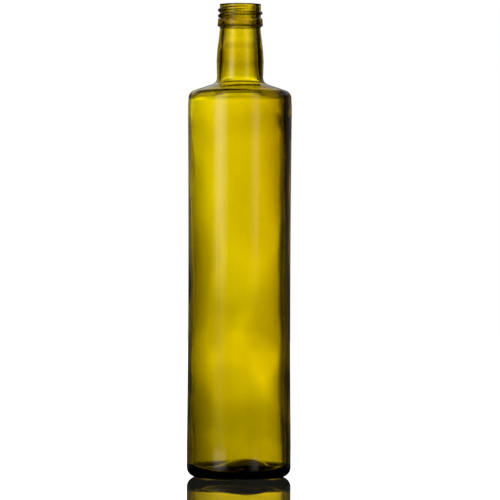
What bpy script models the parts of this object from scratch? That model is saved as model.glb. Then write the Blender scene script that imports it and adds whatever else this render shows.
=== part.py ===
"""Olive oil bottle: one hollow body of olive green glass with a screw finish, 750 ml.

Units are metres and +Z is up. The origin is the centre of the base, on the surface that
the bottle stands on. The front of the bottle faces -Y.
"""

from math import cos, pi, radians, sin, sqrt

import bmesh
import bpy

MM = 0.001

# Whole bottle
HEIGHT = 314.5 * MM
SIDES = 48
MERGE_DISTANCE = 0.01 * MM

# Points along each stretch of the profile
FLOOR_STEPS = 6
PUNT_STEPS = 4
HEEL_STEPS = 5
WALL_STEPS = 7
CORNER_STEPS = 5
NECK_FOOT_STEPS = 4
NECK_STEPS = 2
LIP_STEPS = 3

# Body: a cylinder that is slightly waisted between the heel band and the shoulder
HEEL_BAND_RADIUS = 34.6 * MM
WAIST_RADIUS = 33.82 * MM
SHOULDER_BAND_RADIUS = 34.45 * MM
HEEL_BAND_TOP = 19.0 * MM
WAIST_LEVEL = 115.0 * MM
SHOULDER_BAND_FOOT = 241.0 * MM
SHOULDER_BAND_TOP = 246.5 * MM
WALL = 3.15 * MM

# Base: a rounded heel, a flat ring to stand on and a shallow punt
HEEL_ROUNDING = 6.5 * MM
RING_INNER_RADIUS = 23.5 * MM
PUNT_DEPTH = 5.0 * MM
FLOOR_EDGE_LEVEL = 8.7 * MM
FLOOR_RISE = 3.2 * MM
FLOOR_ROUNDING = 6.0 * MM

# Shoulder: a cone between two concentric pairs of roundings
SHOULDER_SLOPE = radians(20.0)
SHOULDER_WALL = 3.4 * MM
CORNER_CENTRE = (27.3 * MM, 250.3 * MM)
CORNER_ROUNDING = 7.0 * MM
CORNER_END = radians(4.0)
NECK_FOOT_CENTRE = (20.4 * MM, 265.8 * MM)
NECK_FOOT_ROUNDING = 5.0 * MM

# Neck: it swells a little above its foot and narrows to the finish
NECK_STATIONS = (
    (13.5 * MM, 298.3 * MM),
    (14.0 * MM, 293.2 * MM),
    (15.0 * MM, 284.2 * MM),
    (15.55 * MM, 276.3 * MM),
)
NECK_BORE_STATIONS = (
    (12.15 * MM, 276.3 * MM),
    (11.6 * MM, 287.0 * MM),
    (10.75 * MM, 297.5 * MM),
)

# Finish: the threaded mouth, with a band under the thread for a closure's skirt
BORE_RADIUS = 10.5 * MM
BORE_FOOT = 303.0 * MM
FINISH_RADIUS = 13.7 * MM
LIP_OUTER_ROUNDING = 1.2 * MM
LIP_INNER_ROUNDING = 1.0 * MM
BAND_TOP = 305.8 * MM
BAND_CHAMFER_FOOT = 304.6 * MM
BAND_FOOT = 300.2 * MM
BAND_UNDERSIDE = 299.3 * MM
BAND_TOP_RADIUS = 14.75 * MM
BAND_FOOT_RADIUS = 15.13 * MM
BAND_EDGE = 0.25 * MM

# Thread: one right-handed start, which falls clockwise as seen from above. Its start lies
# between two edges of the body's sides, so that the union has no edge upon an edge.
THREAD_PITCH = 3.75 * MM
THREAD_START_ANGLE = -58.0
THREAD_START_LEVEL = 311.8 * MM
THREAD_TURN = 540.0
THREAD_FADE = 42.0
THREAD_CREST = 1.15 * MM
THREAD_FLANK = 0.8 * MM
THREAD_ROOT_DEPTH = 0.6 * MM
THREAD_HALF_ROOT = 1.45 * MM
THREAD_HALF_CREST = 0.45 * MM
THREAD_SUNK = 1.6 * MM

# Glass
GLASS_COLOUR = (0.55, 0.43, 0.01, 1.0)
GLASS_ROUGHNESS = 0.03
GLASS_IOR = 1.52


def arc(centre, radius, start, end, steps):
    """Points of an arc about centre, from angle start to angle end, both included."""
    points = []
    for index in range(steps + 1):
        angle = start + (end - start) * index / steps
        points.append((centre[0] + radius * cos(angle), centre[1] + radius * sin(angle)))
    return points


def smooth(stations, steps):
    """Points of a Catmull-Rom curve through the stations."""
    ends = [stations[0], *stations, stations[-1]]
    points = [stations[0]]
    for before, start, end, after in zip(ends, ends[1:], ends[2:], ends[3:]):
        for index in range(1, steps + 1):
            t = index / steps
            points.append(tuple(
                0.5 * (2 * b + (c - a) * t
                       + (2 * a - 5 * b + 4 * c - d) * t ** 2
                       + (3 * b - a - 3 * c + d) * t ** 3)
                for a, b, c, d in zip(before, start, end, after)))
    return points


def body_radius(level):
    """Outer radius of the body between its two bands, widest at the bands."""
    if level < WAIST_LEVEL:
        share = (WAIST_LEVEL - level) / (WAIST_LEVEL - HEEL_BAND_TOP)
        return WAIST_RADIUS + (HEEL_BAND_RADIUS - WAIST_RADIUS) * share ** 3
    share = (level - WAIST_LEVEL) / (SHOULDER_BAND_FOOT - WAIST_LEVEL)
    return WAIST_RADIUS + (SHOULDER_BAND_RADIUS - WAIST_RADIUS) * share ** 2


def body_wall(inset):
    """Points of the body's wall from the shoulder band down to the heel band."""
    points = [(SHOULDER_BAND_RADIUS - inset, SHOULDER_BAND_TOP)]
    for index in range(WALL_STEPS + 1):
        share = index / WALL_STEPS
        level = SHOULDER_BAND_FOOT + (HEEL_BAND_TOP - SHOULDER_BAND_FOOT) * share
        points.append((body_radius(level) - inset, level))
    return points


def inside_profile():
    """Inner surface, from the middle of the floor up to the lip."""
    wall_foot = HEEL_BAND_RADIUS - WALL
    floor_edge = wall_foot - FLOOR_ROUNDING
    points = []
    for index in range(FLOOR_STEPS):
        share = index / FLOOR_STEPS
        rise = FLOOR_RISE * (1 + cos(pi * share)) / 2
        points.append((floor_edge * share, FLOOR_EDGE_LEVEL + rise))
    corner = (floor_edge, FLOOR_EDGE_LEVEL + FLOOR_ROUNDING)
    points += arc(corner, FLOOR_ROUNDING, -pi / 2, 0, HEEL_STEPS)
    points += reversed(body_wall(WALL))
    slope_normal = pi / 2 - SHOULDER_SLOPE
    corner_rounding = CORNER_ROUNDING - SHOULDER_WALL
    points += arc(CORNER_CENTRE, corner_rounding, CORNER_END, slope_normal, CORNER_STEPS)
    neck_foot_rounding = NECK_FOOT_ROUNDING + SHOULDER_WALL
    points += arc(NECK_FOOT_CENTRE, neck_foot_rounding, slope_normal + pi, pi, NECK_FOOT_STEPS)
    points += smooth([*NECK_BORE_STATIONS, (BORE_RADIUS, BORE_FOOT)], NECK_STEPS)
    lip_centre = (BORE_RADIUS + LIP_INNER_ROUNDING, HEIGHT - LIP_INNER_ROUNDING)
    points += arc(lip_centre, LIP_INNER_ROUNDING, pi, pi / 2, LIP_STEPS)
    return points


def outside_profile():
    """Outer surface, from the lip down to the middle of the punt."""
    lip_centre = (FINISH_RADIUS - LIP_OUTER_ROUNDING, HEIGHT - LIP_OUTER_ROUNDING)
    points = arc(lip_centre, LIP_OUTER_ROUNDING, pi / 2, 0, LIP_STEPS)
    points += [
        (FINISH_RADIUS, BAND_TOP),
        (BAND_TOP_RADIUS, BAND_CHAMFER_FOOT),
        (BAND_FOOT_RADIUS, BAND_FOOT),
        (BAND_FOOT_RADIUS - BAND_EDGE, BAND_FOOT - BAND_EDGE),
        (FINISH_RADIUS, BAND_UNDERSIDE),
    ]
    points += smooth(NECK_STATIONS, NECK_STEPS)
    slope_normal = pi / 2 - SHOULDER_SLOPE
    points += arc(NECK_FOOT_CENTRE, NECK_FOOT_ROUNDING, pi, slope_normal + pi, NECK_FOOT_STEPS)
    points += arc(CORNER_CENTRE, CORNER_ROUNDING, slope_normal, CORNER_END, CORNER_STEPS)
    points += body_wall(0)
    heel_centre = (HEEL_BAND_RADIUS - HEEL_ROUNDING, HEEL_ROUNDING)
    points += arc(heel_centre, HEEL_ROUNDING, 0, -pi / 2, HEEL_STEPS)
    sphere = (RING_INNER_RADIUS ** 2 + PUNT_DEPTH ** 2) / (2 * PUNT_DEPTH)
    for index in range(PUNT_STEPS + 1):
        radius = RING_INNER_RADIUS * (1 - index / PUNT_STEPS)
        points.append((radius, sqrt(sphere ** 2 - radius ** 2) - sphere + PUNT_DEPTH))
    return points


def glass_material():
    """Olive green glass, seen through with a slight tint at each wall."""
    material = bpy.data.materials.new("olive_glass")
    material.use_nodes = True
    shader = material.node_tree.nodes["Principled BSDF"]
    shader.inputs["Base Color"].default_value = GLASS_COLOUR
    shader.inputs["Roughness"].default_value = GLASS_ROUGHNESS
    shader.inputs["Metallic"].default_value = 0.0
    shader.inputs["IOR"].default_value = GLASS_IOR
    shader.inputs["Transmission Weight"].default_value = 1.0
    return material


def new_object(name, mesh):
    """An object for the mesh, in the scene's own collection."""
    thing = bpy.data.objects.new(name, mesh)
    bpy.context.scene.collection.objects.link(thing)
    return thing


def turned_bottle():
    """The hollow body, turned from its profile round the Z axis."""
    points = inside_profile() + outside_profile()
    edges = [(index, index + 1) for index in range(len(points) - 1)]
    mesh = bpy.data.meshes.new("bottle")
    mesh.from_pydata([(radius, 0, level) for radius, level in points], edges, [])
    bottle = new_object("bottle", mesh)
    turn = bottle.modifiers.new("Turn", "SCREW")
    turn.axis = "Z"
    turn.steps = SIDES
    turn.render_steps = SIDES
    turn.use_smooth_shade = True
    turn.use_merge_vertices = True
    turn.merge_threshold = MERGE_DISTANCE
    return bottle


def thread_section(sink):
    """Corners of the thread's section, as radius and level from its centre line."""
    root = FINISH_RADIUS - THREAD_ROOT_DEPTH - sink
    flank = FINISH_RADIUS + THREAD_FLANK - sink
    return [
        (root, -THREAD_HALF_ROOT),
        (flank, -THREAD_HALF_CREST),
        (FINISH_RADIUS + THREAD_CREST - sink, 0),
        (flank, THREAD_HALF_CREST),
        (root, THREAD_HALF_ROOT),
    ]


def thread_ridge():
    """A solid ridge that winds down the finish and sinks into the wall at both ends."""
    shape = bmesh.new()
    degrees_per_side = 360.0 / SIDES
    rings = []
    for index in range(round(THREAD_TURN / degrees_per_side) + 1):
        turned = index * degrees_per_side
        to_end = min(turned, THREAD_TURN - turned)
        sink = THREAD_SUNK * (1 - min(to_end / THREAD_FADE, 1)) ** 2
        angle = radians(THREAD_START_ANGLE - turned)
        centre_level = THREAD_START_LEVEL - THREAD_PITCH * turned / 360
        rings.append([
            shape.verts.new((radius * cos(angle), radius * sin(angle), centre_level + level))
            for radius, level in thread_section(sink)])
    for ring, next_ring in zip(rings, rings[1:]):
        for corner in range(len(ring)):
            after = (corner + 1) % len(ring)
            shape.faces.new((ring[corner], ring[after], next_ring[after], next_ring[corner]))
    shape.faces.new(rings[0])
    shape.faces.new(reversed(rings[-1]))
    bmesh.ops.recalc_face_normals(shape, faces=shape.faces)
    mesh = bpy.data.meshes.new("thread_ridge")
    shape.to_mesh(mesh)
    shape.free()
    mesh.shade_smooth()
    ridge = new_object("thread_ridge", mesh)
    ridge.hide_render = True
    ridge.display_type = "WIRE"
    return ridge


def build():
    """The whole bottle: the turned body with the thread fused to its finish."""
    for thing in list(bpy.data.objects):
        bpy.data.objects.remove(thing)
    bottle = turned_bottle()
    fuse = bottle.modifiers.new("Thread", "BOOLEAN")
    fuse.operation = "UNION"
    fuse.solver = "EXACT"
    fuse.object = thread_ridge()
    bottle.data.materials.append(glass_material())


build()
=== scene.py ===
from math import atan2, cos, degrees, hypot, pi, radians, sin, sqrt

import bpy
from mathutils import Euler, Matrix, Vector


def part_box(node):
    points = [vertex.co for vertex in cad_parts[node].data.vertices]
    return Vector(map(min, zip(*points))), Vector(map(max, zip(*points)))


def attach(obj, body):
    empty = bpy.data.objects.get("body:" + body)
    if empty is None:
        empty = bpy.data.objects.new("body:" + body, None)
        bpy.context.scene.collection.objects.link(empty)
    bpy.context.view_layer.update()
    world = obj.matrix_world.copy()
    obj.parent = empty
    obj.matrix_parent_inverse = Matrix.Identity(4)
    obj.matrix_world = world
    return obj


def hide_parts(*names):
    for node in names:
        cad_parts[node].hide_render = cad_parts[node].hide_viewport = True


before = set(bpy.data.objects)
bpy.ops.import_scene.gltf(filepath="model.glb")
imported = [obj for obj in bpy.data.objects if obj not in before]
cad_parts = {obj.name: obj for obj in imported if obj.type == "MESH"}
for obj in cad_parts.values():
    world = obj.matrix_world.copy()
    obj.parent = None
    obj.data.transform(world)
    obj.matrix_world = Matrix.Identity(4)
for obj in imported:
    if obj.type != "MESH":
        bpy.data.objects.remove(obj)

# Measures of the bottle, in metres. The overall height and width come from the frame.

MM = 0.001
LOWEST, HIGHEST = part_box("bottle")
HEIGHT = HIGHEST.z
HEEL_BAND_RADIUS = HIGHEST.x
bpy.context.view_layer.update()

# Steps of the outline, and sides of the round body
SIDES = 240
ARC_STEPS = 12
LIP_STEPS = 6
INNER_CORNER_STEPS = 10
CURVE_STEPS = 6
FLOOR_STEPS = 20
WALL_STEPS = 56
FINISH_STEPS = 46
CHAMFER_STEPS = 8
BAND_STEPS = 4
PUNT_STEPS = 16
MERGE_DISTANCE = 0.002 * MM

# Body: slightly waisted, with a band at the heel and one at the shoulder
WAIST_RADIUS = 33.97 * MM
SHOULDER_BAND_RADIUS = 34.55 * MM
HEEL_BAND_TOP = 19.0 * MM
WAIST_LEVEL = 115.0 * MM
SHOULDER_BAND_FOOT = 241.0 * MM
SHOULDER_BAND_TOP = 246.5 * MM
HEEL_SWELL = 1.7
SHOULDER_SWELL = 2
WALL = 3.15 * MM

# Base: the ring that the bottle stands on, the punt inside it, and the domed inner floor
HEEL_ROUNDING = 6.5 * MM
RING_INNER_RADIUS = 23.5 * MM
PUNT_DEPTH = 5.0 * MM
FLOOR_EDGE_LEVEL = 3.2 * MM
FLOOR_RISE = 9.2 * MM
FLOOR_FALL = 1.3
FLOOR_ROUNDING = 6.2 * MM
FLOOR_CREST_OFFSET = 5.5 * MM
FLOOR_SLACK = 0.1 * MM

# Shoulder and neck: each station is a radius and a level
SHOULDER_SLOPE = radians(18.5)
SHOULDER_WALL = 2.4 * MM
CORNER_CENTRE = (28.79 * MM, 251.92 * MM)
CORNER_ROUNDING = 5.5 * MM
CORNER_END = radians(4.0)
INNER_CORNER_ROUNDING = 5.0 * MM
NECK_FOOT_CENTRE = (20.4 * MM, 265.8 * MM)
NECK_FOOT_ROUNDING = 5.0 * MM

NECK_STATIONS = (
    (13.5 * MM, 298.3 * MM),
    (14.05 * MM, 293.2 * MM),
    (15.15 * MM, 284.2 * MM),
    (15.65 * MM, 276.3 * MM),
)
NECK_BORE_STATIONS = (
    (12.15 * MM, 276.3 * MM),
    (11.6 * MM, 287.0 * MM),
    (10.75 * MM, 297.5 * MM),
)

# Finish: the bore, the lip and the band under the thread
BORE_RADIUS = 10.5 * MM
BORE_FOOT = 303.0 * MM
FINISH_RADIUS = 13.7 * MM
LIP_OUTER_ROUNDING = 1.2 * MM
LIP_INNER_ROUNDING = 1.0 * MM
BAND_TOP = 305.8 * MM
BAND_CHAMFER_FOOT = 304.6 * MM
BAND_FOOT = 300.2 * MM
BAND_UNDERSIDE = 299.3 * MM
BAND_TOP_RADIUS = 14.75 * MM
BAND_FOOT_RADIUS = 15.13 * MM
BAND_EDGE = 0.25 * MM

# Thread: angles in degrees, and it rises to the right, as a right-handed thread does
THREAD_PITCH = 3.75 * MM
THREAD_START_ANGLE = -58.0
THREAD_START_LEVEL = 311.8 * MM
THREAD_TURN = 540.0
THREAD_FADE = 42.0
THREAD_CREST = 1.15 * MM
THREAD_HALF_ROOT = 1.45 * MM
THREAD_HALF_CREST = 0.45 * MM

# Mould seams, where the two halves of the mould met, as angles about the axis in degrees
SEAM_ANGLES = (-114, 66)
SEAM_HALF_WIDTH = 0.3 * MM
SEAM_HEIGHT = 0.03 * MM
SEAM_SLACK = 0.05 * MM
NECK_FOOT_SPREAD = 0.6
NECK_SLACK = 0.3 * MM

# Cuts across the ring that the bottle stands on
KNURL_CUTS = 60
KNURL_DEPTH = 0.22 * MM
KNURL_TOP = 0.4 * MM
KNURL_INNER_REACH = 1.5 * MM
KNURL_OUTER_REACH = 2.5 * MM

# Unevenness of the inner wall. It stands off the axis, so the glass is thinner on the left:
# each pair is a level and how far the inner wall is moved to the left there.
OFF_AXIS = (
    (10.0 * MM, 0.0), (35.0 * MM, 0.35 * MM), (140.0 * MM, 0.45 * MM), (225.0 * MM, 1.1 * MM),
    (245.0 * MM, 1.3 * MM), (254.0 * MM, 1.2 * MM), (262.0 * MM, 0.0))
WAVE_SIZE = 34.0 * MM
WAVE_STRETCH = 1.5
WAVE_HEIGHT = 1.1 * MM
WAVE_FADE = 18.0 * MM

# Glass: a tint that grows with the way through it
GLASS_TINT = (0.9015, 0.8765, 0.0, 1.0)
GLASS_DENSITY = 2000.0
GLASS_IOR = 1.52
GLASS_ROUGHNESS = 0.01
FINE_GRAIN = 90.0
BROAD_GRAIN = 22.0
SKIN_STRENGTH = 0.05
SKIN_DEPTH = 0.2 * MM

# Camera, with the photograph's frame of 500 pixels
IMAGE_PIXELS = 500
FOCAL_PIXELS = 3320
SENSOR = 36.0
CAMERA_DISTANCE = 2.21
CAMERA_LEVEL = 0.1570
AIM_ACROSS = 0.0070
AIM_LEVEL = 0.1510
CAMERA_ROLL = radians(0.2)
CAMERA_REACH = 20

# Studio. Turns are in degrees round the bottle, 0 straight behind it and + to the right, levels
# are in metres above the floor, and each pair is a place and a brightness. Each light has one
# curve across, by turn, and one up, by level.
WHITE = (1.0, 1.0, 1.0, 1.0)
RING_SIDES = 96
TENT_RADIUS = 0.9
TENT_HEIGHT = 6.0
TENT_MIDDLE = -1.5

# A bright field straight behind the body, which leans: the lean's pairs are levels and degrees
BACKDROP_ACROSS = (
    (-180, 0.0), (-110, 0.01), (-50, 0.03), (-24, 0.03), (-18, 0.12), (-15, 0.36), (-10, 0.4),
    (-5, 0.56), (-3, 0.87), (-2, 1.04), (-1, 1.08), (0, 1.03), (1, 1.04), (2, 1.12), (5, 1.32),
    (10, 1.3), (14, 1.05), (17, 0.2), (20, 0.03), (60, 0.02), (180, 0.0))
BACKDROP_UP = (
    (-0.9, 0.9), (-0.12, 1.15), (-0.037, 1.3), (-0.014, 1.08), (0.008, 1.3),
    (0.03, 1.9), (0.045, 2.45), (0.053, 2.6), (0.064, 2.0), (0.076, 1.55), (0.098, 1.7),
    (0.121, 1.97), (0.143, 2.2), (0.166, 2.3), (0.188, 2.35), (0.233, 2.26), (0.256, 2.4),
    (0.266, 2.2), (0.278, 2.0), (0.288, 0.8), (0.293, 0.0), (1.5, 0.0))
BACKDROP_LEAN = (
    (-0.9, 5.0), (0.01, 5.0), (0.035, 4.4), (0.053, 4.0), (0.09, 5.0), (0.15, 5.5), (0.2, 6.0),
    (0.279, 6.0), (0.287, 0.0), (1.5, 0.0))
UPRIGHT = 6.0

# Above it, the field behind the neck
NECK_ACROSS = (
    (-180, 0.0), (-60, 0.0), (-45, 0.1), (-34, 0.2), (-24, 0.45), (-16, 0.8), (-10, 1.06), (-6, 1.45),
    (-4, 1.5), (-2, 1.15), (0.5, 1.05), (2.7, 1.3), (5, 1.3), (9, 0.82), (16, 0.2), (25, 0.06),
    (40, 0.04), (60, 0.0), (180, 0.0))
NECK_UP = (
    (-0.9, 0.0), (0.28, 0.0), (0.288, 1.05), (0.296, 1.85), (0.302, 2.3), (0.31, 2.1), (0.318, 1.95),
    (0.33, 1.95), (0.345, 1.8), (0.36, 1.5), (0.385, 1.4), (0.4, 2.2), (0.42, 2.2), (0.44, 0.6),
    (0.5, 0.35), (0.56, 0.1), (1.5, 0.05))

# Two upright edges beside the bright field
CORNERS_ACROSS = (
    (-180, 0.0), (-15.5, 0.0), (-14, 1.0), (-9, 0.7), (-3, 0.0), (13, 0.0), (16, 1.0), (23, 1.0),
    (26, 0.0), (180, 0.0))
CORNERS_UP = (
    (-0.9, 0.0), (0.0, 0.05), (0.02, 0.25), (0.05, 0.3), (0.075, 0.25), (0.1, 0.06), (0.16, 0.06),
    (0.19, 0.15), (0.233, 0.7), (0.256, 1.7), (0.277, 2.1), (0.288, 0.0), (1.5, 0.0))

# Light that the glass bends in at its two rims
LEFT_RIM_ACROSS = (
    (-180, 0.0), (-75, 0.0), (-62, 0.6), (-48, 0.9), (-40, 0.5), (-32, 0.45),
    (-26, 0.4), (-20, 0.2), (-14, 0.0), (180, 0.0))
LEFT_RIM_UP = (
    (-0.9, 0.6), (-0.05, 0.6), (-0.035, 0.15), (-0.015, 0.1), (0.01, 0.2), (0.038, 0.5),
    (0.098, 1.0), (0.143, 0.8), (0.2, 0.5), (0.215, 1.0), (0.24, 1.5), (0.263, 2.0), (0.3, 2.0),
    (0.32, 0.0), (1.5, 0.0))
RIGHT_RIM_ACROSS = (
    (-180, 0.0), (26, 0.0), (34, 0.2), (44, 0.15), (55, 0.15), (66, 0.9), (78, 0.0), (180, 0.0))
RIGHT_RIM_UP = (
    (-0.9, 0.1), (0.0, 0.1), (0.023, 1.0), (0.038, 1.8), (0.055, 2.4), (0.068, 2.4), (0.098, 2.0),
    (0.12, 1.4), (0.143, 0.7), (0.18, 0.7), (0.203, 0.35), (0.29, 0.25), (0.32, 0.0), (1.5, 0.0))

# The rest of the tent, by the turn without its sign, for the look from the sides and the back
REAR_ACROSS = ((0, 0.0), (60, 0.0), (74, 0.7), (100, 0.85), (180, 0.9))
REAR_UP = (
    (-0.9, 1.2), (-0.12, 1.3), (0.0, 1.5), (0.05, 2.0), (0.2, 2.3), (0.42, 2.4), (0.5, 0.3), (1.5, 0.1))

# What the glass mirrors in place of the fields: a faint veil, and two soft strips in front
VEIL_ACROSS = (
    (-180, 0.0), (-62, 0.0), (-50, 0.06), (-38, 0.11), (20, 0.12), (40, 0.1), (50, 0.06), (62, 0.0),
    (180, 0.0))
VEIL_UP = (
    (-0.9, 0.25), (0.03, 0.3), (0.1, 0.4), (0.14, 0.8), (0.2, 1.0), (0.35, 1.0), (0.45, 0.3),
    (1.5, 0.3))
LEFT_STRIP_ACROSS = (
    (-180, 0.0), (-157, 0.0), (-148, 0.6), (-140, 1.1), (-131, 1.15), (-121, 0.12), (-114, 0.0),
    (180, 0.0))
LEFT_STRIP_UP = (
    (-0.9, 1.1), (-0.045, 1.1), (-0.03, 0.7), (-0.015, 0.1), (0.03, 0.1), (0.05, 0.17),
    (0.1, 0.17), (0.15, 1.1), (0.26, 2.1), (0.38, 1.7), (0.46, 0.8), (1.5, 0.8))
RIGHT_STRIP_ACROSS = (
    (-180, 0.0), (132, 0.0), (140, 0.9), (146, 1.0), (152, 0.4), (160, 0.0), (180, 0.0))
RIGHT_STRIP_UP = (
    (-0.9, 0.5), (-0.055, 0.5), (-0.045, 0.02), (0.09, 0.02), (0.13, 0.15), (0.17, 0.6),
    (0.26, 0.85), (0.33, 0.6), (1.5, 0.5))

# Light from high up, for the slope of the shoulder and the lip
OVERHEAD_ACROSS = (
    (-180, 0.0), (-60, 0.3), (-15, 0.8), (-5, 0.75), (0, 0.65), (5, 0.5), (30, 0.3), (180, 0.0))
OVERHEAD_UP = (
    (-0.9, 0.0), (0.45, 0.0), (0.55, 1.0), (0.65, 0.9), (0.8, 0.3), (0.95, 0.22), (1.5, 0.2))

# Floor: its pairs are a distance from the bottle, or how flat it is seen, and a share
FLOOR_SIZE = 6.0
FLOOR_LIGHT = 1.2
FLOOR_MIRROR = 0.9
FLOOR_MIRROR_ROUGHNESS = 0.02
# A faint painted glow on the mirroring patch, in place of the light that the floor scatters
FLOOR_MIRROR_GLOW = 0.008
FLOOR_MIRROR_GLOW_COLOUR = (0.95, 1.0, 0.8, 1.0)
FLOOR_POLISHED = ((0.0, 1.0), (0.26, 1.0), (0.32, 0.0), (4.5, 0.0))
# Painted shadow: near the bottle the floor is dark to rays that come through the glass; each pair is a
# distance and how much of that painted shadow there is
FLOOR_PAINTED_SHADOW = ((0.0, 1.0), (0.05, 1.0), (0.11, 0.0), (4.5, 0.0))
FLOOR_LOW_ANGLE = ((0.0, 0.0), (0.75, 0.0), (0.9, 1.0), (1.0, 1.0))
GLOW_DISTANCE = 0.8
GLOW_LEVEL = 0.056
GLOW_HEIGHT = 0.056
GLOW_LIGHT = 1.6


# Outline of the glass


def arc(centre, radius, start, end, steps):
    """Points of an arc about centre, from angle start to angle end, both included."""
    points = []
    for index in range(steps + 1):
        angle = start + (end - start) * index / steps
        points.append((centre[0] + radius * cos(angle), centre[1] + radius * sin(angle)))
    return points


def smooth(stations, steps):
    """Points of a Catmull-Rom curve through the stations."""
    ends = [stations[0], *stations, stations[-1]]
    points = [stations[0]]
    for before, start, end, after in zip(ends, ends[1:], ends[2:], ends[3:]):
        for index in range(1, steps + 1):
            t = index / steps
            points.append(tuple(
                0.5 * (2 * b + (c - a) * t
                       + (2 * a - 5 * b + 4 * c - d) * t ** 2
                       + (3 * b - a - 3 * c + d) * t ** 3)
                for a, b, c, d in zip(before, start, end, after)))
    return points


def straight(start, end, steps):
    """Points between start and end, without start itself."""
    points = []
    for index in range(1, steps + 1):
        share = index / steps
        points.append(tuple(a + (b - a) * share for a, b in zip(start, end)))
    return points


def body_radius(level):
    """Outer radius of the body between its two bands, widest at the bands."""
    if level < WAIST_LEVEL:
        share = (WAIST_LEVEL - level) / (WAIST_LEVEL - HEEL_BAND_TOP)
        return WAIST_RADIUS + (HEEL_BAND_RADIUS - WAIST_RADIUS) * share ** HEEL_SWELL
    share = (level - WAIST_LEVEL) / (SHOULDER_BAND_FOOT - WAIST_LEVEL)
    return WAIST_RADIUS + (SHOULDER_BAND_RADIUS - WAIST_RADIUS) * share ** SHOULDER_SWELL


def body_wall(inset):
    """Points of the body's wall from the shoulder band down to the heel band."""
    points = [(SHOULDER_BAND_RADIUS - inset, SHOULDER_BAND_TOP)]
    for index in range(WALL_STEPS + 1):
        share = index / WALL_STEPS
        level = SHOULDER_BAND_FOOT + (HEEL_BAND_TOP - SHOULDER_BAND_FOOT) * share
        points.append((body_radius(level) - inset, level))
    return points


def inner_corner_centre():
    """Centre of the arc that touches both the body's inner wall and the inner slope."""
    radius = SHOULDER_BAND_RADIUS - WALL - INNER_CORNER_ROUNDING
    below = CORNER_ROUNDING - SHOULDER_WALL - INNER_CORNER_ROUNDING
    across = (radius - CORNER_CENTRE[0]) * sin(SHOULDER_SLOPE)
    return radius, CORNER_CENTRE[1] + (below - across) / cos(SHOULDER_SLOPE)


def inside_profile():
    """Inner surface, from the middle of the floor up to the lip."""
    wall_foot = HEEL_BAND_RADIUS - WALL
    floor_edge = wall_foot - FLOOR_ROUNDING
    points = []
    for index in range(FLOOR_STEPS):
        share = index / FLOOR_STEPS
        rise = FLOOR_RISE * (1 - share ** 2) ** FLOOR_FALL
        points.append((floor_edge * share, FLOOR_EDGE_LEVEL + rise))
    corner = (floor_edge, FLOOR_EDGE_LEVEL + FLOOR_ROUNDING)
    points += arc(corner, FLOOR_ROUNDING, -pi / 2, 0, ARC_STEPS)
    points += reversed(body_wall(WALL))
    slope_normal = pi / 2 - SHOULDER_SLOPE
    centre = inner_corner_centre()
    points += arc(centre, INNER_CORNER_ROUNDING, 0, slope_normal, INNER_CORNER_STEPS)
    neck_foot_rounding = NECK_FOOT_ROUNDING + SHOULDER_WALL
    points += arc(NECK_FOOT_CENTRE, neck_foot_rounding, slope_normal + pi, pi, ARC_STEPS)
    points += smooth([*NECK_BORE_STATIONS, (BORE_RADIUS, BORE_FOOT)], CURVE_STEPS)
    lip_centre = (BORE_RADIUS + LIP_INNER_ROUNDING, HEIGHT - LIP_INNER_ROUNDING)
    points += arc(lip_centre, LIP_INNER_ROUNDING, pi, pi / 2, LIP_STEPS)
    return points


def outside_profile():
    """Outer surface, from the lip down to the middle of the punt."""
    lip_centre = (FINISH_RADIUS - LIP_OUTER_ROUNDING, HEIGHT - LIP_OUTER_ROUNDING)
    points = arc(lip_centre, LIP_OUTER_ROUNDING, pi / 2, 0, LIP_STEPS)
    points += straight(points[-1], (FINISH_RADIUS, BAND_TOP), FINISH_STEPS)
    points += straight(points[-1], (BAND_TOP_RADIUS, BAND_CHAMFER_FOOT), CHAMFER_STEPS)
    points += straight(points[-1], (BAND_FOOT_RADIUS, BAND_FOOT), BAND_STEPS)
    points += [
        (BAND_FOOT_RADIUS - BAND_EDGE, BAND_FOOT - BAND_EDGE),
        (FINISH_RADIUS, BAND_UNDERSIDE),
    ]
    points += smooth(NECK_STATIONS, CURVE_STEPS)
    slope_normal = pi / 2 - SHOULDER_SLOPE
    points += arc(NECK_FOOT_CENTRE, NECK_FOOT_ROUNDING, pi, slope_normal + pi, ARC_STEPS)
    points += arc(CORNER_CENTRE, CORNER_ROUNDING, slope_normal, CORNER_END, ARC_STEPS)
    points += body_wall(0)
    heel_centre = (HEEL_BAND_RADIUS - HEEL_ROUNDING, HEEL_ROUNDING)
    points += arc(heel_centre, HEEL_ROUNDING, 0, -pi / 2, ARC_STEPS)
    sphere = (RING_INNER_RADIUS ** 2 + PUNT_DEPTH ** 2) / (2 * PUNT_DEPTH)
    for index in range(PUNT_STEPS + 1):
        radius = RING_INNER_RADIUS * (1 - index / PUNT_STEPS)
        points.append((radius, sqrt(sphere ** 2 - radius ** 2) - sphere + PUNT_DEPTH))
    return points


# Modelling helpers


def deselect():
    """Leaves nothing selected in object mode."""
    for thing in bpy.context.selected_objects:
        thing.select_set(False)


def extruded_outline(name, points):
    """A new mesh object: one vertex, extruded from point to point of an outline in the XZ plane."""
    deselect()
    start = Vector((points[0][0], 0, points[0][1]))
    bpy.ops.mesh.primitive_plane_add(size=MM, location=start)
    made = bpy.context.object
    made.name = name
    bpy.ops.object.transform_apply(location=True)
    bpy.ops.object.mode_set(mode="EDIT")
    bpy.ops.mesh.select_all(action="SELECT")
    bpy.ops.mesh.merge(type="CENTER")
    for (radius, level), (next_radius, next_level) in zip(points, points[1:]):
        step = (next_radius - radius, 0, next_level - level)
        bpy.ops.mesh.extrude_vertices_move(TRANSFORM_OT_translate={"value": step})
    bpy.ops.object.mode_set(mode="OBJECT")
    return made


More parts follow.
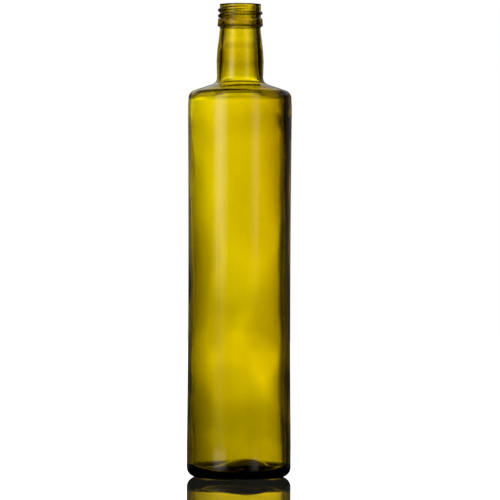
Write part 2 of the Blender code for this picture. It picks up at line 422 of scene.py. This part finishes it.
def spin_round(made, sides):
    """Turns an outline round the Z axis into a closed body with its faces pointing out."""
    bpy.ops.object.mode_set(mode="EDIT")
    bpy.ops.mesh.select_all(action="SELECT")
    bpy.ops.mesh.spin(steps=sides, angle=2 * pi, center=(0, 0, 0), axis=(0, 0, 1))
    bpy.ops.mesh.select_all(action="SELECT")
    bpy.ops.mesh.remove_doubles(threshold=MERGE_DISTANCE)
    bpy.ops.mesh.normals_make_consistent(inside=False)
    bpy.ops.object.mode_set(mode="OBJECT")
    bpy.ops.object.shade_smooth()


# The bottle


def ease(share):
    """A soft step from 0 to 1."""
    share = min(max(share, 0), 1)
    return share * share * (3 - 2 * share)


def thread_height(angle, level):
    """How far the moulded thread stands out at a place on the finish, angle in degrees."""
    height = 0.0
    turned = (THREAD_START_ANGLE - angle) % 360
    while turned <= THREAD_TURN:
        off = abs(level - THREAD_START_LEVEL + THREAD_PITCH * turned / 360)
        flank = ease((THREAD_HALF_ROOT - off) / (THREAD_HALF_ROOT - THREAD_HALF_CREST))
        to_end = min(turned, THREAD_TURN - turned)
        height = max(height, THREAD_CREST * flank * ease(to_end / THREAD_FADE))
        turned += 360
    return height


def mould_thread(bottle):
    """Presses the thread out of the plain finish, where it also runs into the band's chamfer."""
    for vertex in bottle.data.vertices:
        level = vertex.co.z
        radius = sqrt(vertex.co.x ** 2 + vertex.co.y ** 2)
        if level < BAND_CHAMFER_FOOT or radius < FINISH_RADIUS - LIP_OUTER_ROUNDING:
            continue
        angle = degrees(atan2(vertex.co.y, vertex.co.x))
        moulded = FINISH_RADIUS + thread_height(angle, level)
        if moulded > radius:
            vertex.co.x *= moulded / radius
            vertex.co.y *= moulded / radius


def shift_floor_crest(bottle):
    """Moves the crest of the inner floor a little to one side, as it is in the real bottle."""
    floor_edge = HEEL_BAND_RADIUS - WALL - FLOOR_ROUNDING
    for vertex in bottle.data.vertices:
        radius = sqrt(vertex.co.x ** 2 + vertex.co.y ** 2)
        level = vertex.co.z
        if radius < floor_edge and FLOOR_EDGE_LEVEL - FLOOR_SLACK < level < HEEL_BAND_TOP:
            vertex.co.x += FLOOR_CREST_OFFSET * (1 - (radius / floor_edge) ** 2)


def between(stops, place):
    """The value at a place between stops, each a place and a value, eased from one to the next."""
    if place <= stops[0][0]:
        return stops[0][1]
    for (start, low), (end, high) in zip(stops, stops[1:]):
        if place <= end:
            return low + (high - low) * ease((place - start) / (end - start))
    return stops[-1][1]


def is_inside(radius, level):
    """True on the inner surface of the body and the shoulder."""
    middle = SHOULDER_WALL / 2
    if level < CORNER_CENTRE[1]:
        return radius < body_radius(min(level, SHOULDER_BAND_FOOT)) - WALL / 2
    if radius > CORNER_CENTRE[0]:
        return hypot(radius - CORNER_CENTRE[0], level - CORNER_CENTRE[1]) < CORNER_ROUNDING - middle
    if level > NECK_FOOT_CENTRE[1] - NECK_FOOT_ROUNDING - middle:
        from_foot = hypot(radius - NECK_FOOT_CENTRE[0], level - NECK_FOOT_CENTRE[1])
        if radius < NECK_FOOT_CENTRE[0] and from_foot > NECK_FOOT_ROUNDING + middle:
            return True
    above = (level - CORNER_CENTRE[1]) * cos(SHOULDER_SLOPE)
    above += (radius - CORNER_CENTRE[0]) * sin(SHOULDER_SLOPE)
    return above < CORNER_ROUNDING - middle


def move_inner_wall(bottle):
    """Moves the inner wall off the bottle's axis, which makes one side of the glass thinner."""
    for vertex in bottle.data.vertices:
        level = vertex.co.z
        radius = sqrt(vertex.co.x ** 2 + vertex.co.y ** 2)
        if level > OFF_AXIS[0][0] and is_inside(radius, level):
            vertex.co.x -= between(OFF_AXIS, level)


def cut_knurl(bottle):
    """Fine radial cuts in the bearing ring, all above the level it stands on."""
    outer = HEEL_BAND_RADIUS - HEEL_ROUNDING
    for vertex in bottle.data.vertices:
        if vertex.co.z > KNURL_TOP:
            continue
        radius = sqrt(vertex.co.x ** 2 + vertex.co.y ** 2)
        if radius < RING_INNER_RADIUS - KNURL_INNER_REACH or radius > outer + KNURL_OUTER_REACH:
            continue
        turned = degrees(atan2(vertex.co.y, vertex.co.x)) * KNURL_CUTS / 360
        cut = (1 - cos(2 * pi * turned)) / 2
        vertex.co.z += KNURL_DEPTH * cut


def raise_seam(bottle, angle):
    """A fine upright ridge on the outer wall, from the heel to just under the band of the finish."""
    turned = radians(angle)
    outward = Vector((cos(turned), sin(turned), 0))
    outside = set()
    for vertex in bottle.data.vertices:
        level = vertex.co.z
        radius = vertex.co.dot(outward)
        aside = (vertex.co - outward * radius).xy.length
        if aside < SEAM_SLACK and is_outer_wall(radius, level):
            outside.add(vertex.index)
    bpy.ops.object.mode_set(mode="EDIT")
    bpy.ops.mesh.select_all(action="DESELECT")
    bpy.ops.mesh.select_mode(type="EDGE")
    bpy.ops.object.mode_set(mode="OBJECT")
    for edge in bottle.data.edges:
        edge.select = edge.vertices[0] in outside and edge.vertices[1] in outside
    bpy.ops.object.mode_set(mode="EDIT")
    bpy.ops.mesh.bevel(offset=SEAM_HALF_WIDTH, segments=2, affect="EDGES")
    bpy.ops.object.mode_set(mode="OBJECT")
    for vertex in bottle.data.vertices:
        radius = vertex.co.dot(outward)
        aside = (vertex.co - outward * radius).xy.length
        if aside < SEAM_SLACK and is_outer_wall(radius, vertex.co.z):
            vertex.co += outward * SEAM_HEIGHT


def is_outer_wall(radius, level):
    """True on the outer surface between the heel's rounding and the band of the finish."""
    if level < HEEL_ROUNDING / 2 or level > NECK_STATIONS[0][1]:
        return False
    if level < SHOULDER_BAND_TOP:
        return radius > body_radius(level) - WALL / 2
    if level < NECK_FOOT_CENTRE[1]:
        return radius > NECK_STATIONS[-1][0] + (NECK_FOOT_CENTRE[1] - level) * NECK_FOOT_SPREAD
    return radius > NECK_STATIONS[0][0] - NECK_SLACK


def group_where(made, name, chosen):
    """A vertex group in which each vertex has the weight that chosen(radius, level) gives."""
    group = made.vertex_groups.new(name=name)
    for vertex in made.data.vertices:
        weight = chosen(sqrt(vertex.co.x ** 2 + vertex.co.y ** 2), vertex.co.z)
        if weight > 0:
            group.add([vertex.index], weight, "REPLACE")
    return name


def apply_waves(made, group, wave_size, stretch, height):
    """Uneven glass: gentle swells of a given size, stretched along the bottle's axis."""
    deselect()
    bpy.ops.object.empty_add(location=(0, 0, 0))
    ruler = bpy.context.object
    ruler.scale = (wave_size, wave_size, wave_size * stretch)
    swells = bpy.data.textures.new("swells", "CLOUDS")
    swells.noise_scale = 1.0
    swells.noise_depth = 1
    bpy.context.view_layer.objects.active = made
    made.select_set(True)
    waves = made.modifiers.new("Waves", "DISPLACE")
    waves.texture = swells
    waves.texture_coords = "OBJECT"
    waves.texture_coords_object = ruler
    waves.vertex_group = group
    waves.strength = height
    waves.mid_level = 0.5
    bpy.ops.object.modifier_apply(modifier=waves.name)
    bpy.data.objects.remove(ruler)
    bpy.data.textures.remove(swells)


def inner_wall_share(radius, level):
    """1 on the inner surface of the body, and softly down to 0 towards the floor and the shoulder."""
    if radius > body_radius(min(level, SHOULDER_BAND_FOOT)) - WALL / 2:
        return 0
    from_floor = (level - FLOOR_EDGE_LEVEL - FLOOR_ROUNDING) / WAVE_FADE
    from_shoulder = (CORNER_CENTRE[1] - level) / WAVE_FADE
    return ease(min(from_floor, from_shoulder))


def make_bottle():
    """The glass body: its outline spun round, then the thread moulded on and the wall uneven."""
    bottle = extruded_outline("olive_oil_bottle", inside_profile() + outside_profile())
    spin_round(bottle, SIDES)
    mould_thread(bottle)
    shift_floor_crest(bottle)
    move_inner_wall(bottle)
    cut_knurl(bottle)
    for angle in SEAM_ANGLES:
        raise_seam(bottle, angle)
    inner_wall = group_where(bottle, "inner_wall", inner_wall_share)
    apply_waves(bottle, inner_wall, WAVE_SIZE, WAVE_STRETCH, WAVE_HEIGHT)
    return bottle


# Materials


class Number:
    """A number socket that can be used in plain arithmetic."""

    def __init__(self, recipe, socket):
        self.recipe = recipe
        self.socket = socket

    def math(self, operation, *others):
        inputs = {0: self}
        for index, other in enumerate(others):
            inputs[index + 1] = other
        return self.recipe.node("ShaderNodeMath", {"operation": operation}, inputs)

    def __add__(self, other):
        return self.math("ADD", other)

    def __sub__(self, other):
        return self.math("SUBTRACT", other)

    def __rsub__(self, other):
        return (self * -1).math("ADD", other)

    def __mul__(self, other):
        return self.math("MULTIPLY", other)

    def __truediv__(self, other):
        return self.math("DIVIDE", other)

    __radd__ = __add__
    __rmul__ = __mul__


class Recipe:
    """The nodes of one material, or of the world."""

    def __init__(self, owner):
        owner.use_nodes = True
        self.tree = owner.node_tree
        self.tree.nodes.clear()

    def node(self, kind, settings=None, inputs=None, output=0):
        """Adds a node, sets it up, feeds its sockets, and gives back one of its outputs."""
        made = self.tree.nodes.new(kind)
        for name, value in (settings or {}).items():
            if name == "stops":
                set_stops(made.color_ramp, value)
            elif name == "curve":
                made.color_ramp.interpolation = value
            else:
                setattr(made, name, value)
        for name, value in (inputs or {}).items():
            if isinstance(value, Number):
                self.tree.links.new(value.socket, made.inputs[name])
            else:
                made.inputs[name].default_value = value
        if not made.outputs:
            return made
        return Number(self, made.outputs[output])


def set_stops(ramp, stops):
    """Fills a colour ramp with grey stops, each a place and a brightness."""
    while len(ramp.elements) < len(stops):
        ramp.elements.new(0.5)
    for element, (place, grey) in zip(ramp.elements, stops):
        element.position = place
        element.color = (grey, grey, grey, 1)


def finish_glass(bottle):
    """Olive green glass: clear, with a faint unevenness of gloss and surface."""
    material = bpy.data.materials.new("olive_green_glass")
    recipe = Recipe(material)
    place = recipe.node("ShaderNodeTexCoord", output="Object")
    fine = recipe.node("ShaderNodeTexNoise", inputs={
        "Vector": place, "Scale": FINE_GRAIN, "Detail": 2.0})
    broad = recipe.node("ShaderNodeTexNoise", inputs={
        "Vector": place, "Scale": BROAD_GRAIN, "Detail": 1.0})
    skin = recipe.node("ShaderNodeBump", inputs={
        "Height": fine + broad * 2, "Strength": SKIN_STRENGTH, "Distance": SKIN_DEPTH})
    glass = recipe.node("ShaderNodeBsdfPrincipled", inputs={
        "Base Color": WHITE,
        "Roughness": broad * GLASS_ROUGHNESS,
        "IOR": GLASS_IOR,
        "Transmission Weight": 1.0,
        "Normal": skin,
    })
    tint = recipe.node("ShaderNodeVolumeAbsorption", inputs={
        "Color": GLASS_TINT, "Density": GLASS_DENSITY})
    recipe.node("ShaderNodeOutputMaterial", inputs={"Surface": glass, "Volume": tint})
    bottle.data.materials.clear()
    bottle.data.materials.append(material)


# The studio


def show_to(thing, camera=False, glossy=False, transmission=False):
    """Limits a stage object to the kinds of ray that are named."""
    thing.visible_camera = camera
    thing.visible_diffuse = False
    thing.visible_glossy = glossy
    thing.visible_transmission = transmission
    thing.visible_volume_scatter = False
    thing.visible_shadow = False


def make_tent():
    """A round wall of light about the bottle: a backdrop behind it and soft strips in front."""
    deselect()
    bpy.ops.mesh.primitive_cylinder_add(
        vertices=RING_SIDES, radius=TENT_RADIUS, depth=TENT_HEIGHT, end_fill_type="NOTHING",
        location=(0, 0, TENT_MIDDLE))
    tent = bpy.context.object
    tent.name = "light_tent"
    bpy.ops.object.transform_apply(location=True)
    material = bpy.data.materials.new("tent_light")
    recipe = Recipe(material)
    place = recipe.node("ShaderNodeTexCoord", output="Object")
    across = recipe.node("ShaderNodeSeparateXYZ", inputs={"Vector": place}, output="X")
    ahead = recipe.node("ShaderNodeSeparateXYZ", inputs={"Vector": place}, output="Y")
    level = recipe.node("ShaderNodeSeparateXYZ", inputs={"Vector": place}, output="Z")
    turn = across.math("ARCTAN2", ahead) * degrees(1)
    lean = fade(recipe, level, BACKDROP_LEAN) - UPRIGHT
    backdrop = fade(recipe, turn - lean, BACKDROP_ACROSS) * fade(recipe, level, BACKDROP_UP)
    neck = fade(recipe, turn, NECK_ACROSS) * fade(recipe, level, NECK_UP)
    corners = fade(recipe, turn, CORNERS_ACROSS) * fade(recipe, level, CORNERS_UP)
    left_rim = fade(recipe, turn, LEFT_RIM_ACROSS) * fade(recipe, level, LEFT_RIM_UP)
    right_rim = fade(recipe, turn, RIGHT_RIM_ACROSS) * fade(recipe, level, RIGHT_RIM_UP)
    rear = fade(recipe, turn.math("ABSOLUTE"), REAR_ACROSS) * fade(recipe, level, REAR_UP)
    veil = fade(recipe, turn, VEIL_ACROSS) * fade(recipe, level, VEIL_UP)
    left = fade(recipe, turn, LEFT_STRIP_ACROSS, "EASE") * fade(recipe, level, LEFT_STRIP_UP)
    right = fade(recipe, turn, RIGHT_STRIP_ACROSS, "EASE") * fade(recipe, level, RIGHT_STRIP_UP)
    overhead = fade(recipe, turn, OVERHEAD_ACROSS, "EASE") * fade(recipe, level, OVERHEAD_UP)
    mirrored = recipe.node("ShaderNodeLightPath", output="Is Reflection Ray")
    behind = backdrop + neck + corners + left_rim + right_rim + rear
    light = behind * (1 - mirrored) + (veil + left + right) * mirrored + overhead
    glow = recipe.node("ShaderNodeEmission", inputs={"Strength": light})
    recipe.node("ShaderNodeOutputMaterial", inputs={"Surface": glow})
    tent.data.materials.append(material)
    show_to(tent, glossy=True, transmission=True)


def fade(recipe, value, stops, curve="LINEAR"):
    """A curve through stops of value and brightness."""
    start = stops[0][0]
    span = stops[-1][0] - start
    peak = max(brightness for _, brightness in stops)
    places = [((at - start) / span, brightness / peak) for at, brightness in stops]
    share = (value - start) / span
    settings = {"curve": curve, "stops": places}
    return recipe.node("ShaderNodeValToRGB", settings, {"Fac": share}) * peak


def make_floor_glow(floor):
    """A low ring far round the bottle that keeps the mirroring patch of the floor white."""
    deselect()
    bpy.ops.mesh.primitive_cylinder_add(
        vertices=RING_SIDES, radius=GLOW_DISTANCE, depth=GLOW_HEIGHT, end_fill_type="NOTHING",
        location=(0, 0, GLOW_LEVEL))
    ring = bpy.context.object
    ring.name = "floor_glow"
    bpy.ops.object.transform_apply(location=True)
    material = bpy.data.materials.new("floor_glow_light")
    recipe = Recipe(material)
    glow = recipe.node("ShaderNodeEmission", inputs={"Strength": GLOW_LIGHT})
    clear = recipe.node("ShaderNodeBsdfTransparent")
    both = recipe.node("ShaderNodeAddShader", inputs={0: glow, 1: clear})
    recipe.node("ShaderNodeOutputMaterial", inputs={"Surface": both})
    ring.data.materials.append(material)
    lit = bpy.data.collections.new("lit_by_floor_glow")
    lit.objects.link(floor)
    ring.light_linking.receiver_collection = lit
    show_to(ring, glossy=True)


def make_floor():
    """A pale floor, glossy round the bottle at a low angle, with a painted shadow near the bottle for
    the rays that come through the glass.
    """
    deselect()
    bpy.ops.mesh.primitive_plane_add(size=FLOOR_SIZE, location=(0, 0, 0))
    floor = bpy.context.object
    floor.name = "floor"
    material = bpy.data.materials.new("pale_floor")
    recipe = Recipe(material)
    place = recipe.node("ShaderNodeTexCoord", output="Object")
    reach = recipe.node(
        "ShaderNodeVectorMath", {"operation": "LENGTH"}, {0: place}, output="Value")
    near = fade(recipe, reach, FLOOR_POLISHED, "EASE")
    shaded = fade(recipe, reach, FLOOR_PAINTED_SHADOW, "EASE")
    facing = recipe.node("ShaderNodeLayerWeight", inputs={"Blend": 0.5}, output="Facing")
    low_angle = fade(recipe, facing, FLOOR_LOW_ANGLE, "EASE")
    camera_ray = recipe.node("ShaderNodeLightPath", output="Is Camera Ray")
    glossy_ray = recipe.node("ShaderNodeLightPath", output="Is Glossy Ray")
    white = recipe.node("ShaderNodeEmission", inputs={"Color": WHITE, "Strength": FLOOR_LIGHT})
    mirror = recipe.node("ShaderNodeBsdfGlossy", inputs={
        "Color": (FLOOR_MIRROR, FLOOR_MIRROR, FLOOR_MIRROR, 1.0),
        "Roughness": FLOOR_MIRROR_ROUGHNESS})
    clear = recipe.node("ShaderNodeBsdfTransparent")
    dark = recipe.node("ShaderNodeEmission", inputs={"Strength": 0.0})
    # Painted glow added to the mirror: light that the floor scatters, given as its own faint glow
    mirror_glow = recipe.node("ShaderNodeEmission", inputs={
        "Color": FLOOR_MIRROR_GLOW_COLOUR, "Strength": FLOOR_MIRROR_GLOW})
    glowing_mirror = recipe.node("ShaderNodeAddShader", inputs={0: mirror, 1: mirror_glow})
    seen = recipe.node("ShaderNodeMixShader", inputs={0: near, 1: white, 2: glowing_mirror})
    # Painted shadow under and round the bottle for rays through the glass; farther out the floor lets
    # them pass
    passed = recipe.node("ShaderNodeMixShader", inputs={0: shaded, 1: clear, 2: dark})
    polished = recipe.node("ShaderNodeMixShader", inputs={0: camera_ray, 1: passed, 2: seen})
    where = low_angle.math("MAXIMUM", glossy_ray)
    mixed = recipe.node("ShaderNodeMixShader", inputs={0: where, 1: white, 2: polished})
    recipe.node("ShaderNodeOutputMaterial", inputs={"Surface": mixed})
    floor.data.materials.append(material)
    show_to(floor, camera=True, glossy=True, transmission=True)
    return floor


def make_world():
    """White for the camera, and dark for what the glass mirrors or lets through."""
    world = bpy.data.worlds.new("studio")
    bpy.context.scene.world = world
    recipe = Recipe(world)
    camera_ray = recipe.node("ShaderNodeLightPath", output="Is Camera Ray")
    sky = recipe.node("ShaderNodeBackground", inputs={
        "Color": WHITE, "Strength": camera_ray})
    recipe.node("ShaderNodeOutputWorld", inputs={"Surface": sky})


def make_camera():
    """A long lens at the photograph's height and angle."""
    lens = bpy.data.cameras.new("camera")
    lens.sensor_width = SENSOR
    lens.lens = SENSOR * FOCAL_PIXELS / IMAGE_PIXELS
    lens.clip_end = CAMERA_REACH
    camera = bpy.data.objects.new("camera", lens)
    bpy.context.scene.collection.objects.link(camera)
    bpy.context.scene.camera = camera
    camera.location = (AIM_ACROSS, -CAMERA_DISTANCE, CAMERA_LEVEL)
    tilt = atan2(CAMERA_LEVEL - AIM_LEVEL, CAMERA_DISTANCE)
    upright = Euler((pi / 2 - tilt, 0, 0)).to_matrix()
    rolled = Euler((0, 0, CAMERA_ROLL)).to_matrix()
    camera.rotation_euler = (upright @ rolled).to_euler()


# Assembly

bottle = make_bottle()
finish_glass(bottle)
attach(bottle, "root")
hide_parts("bottle")

make_world()
floor = make_floor()
make_camera()
make_tent()
make_floor_glow(floor)

bpy.context.scene.view_settings.view_transform = "Standard"
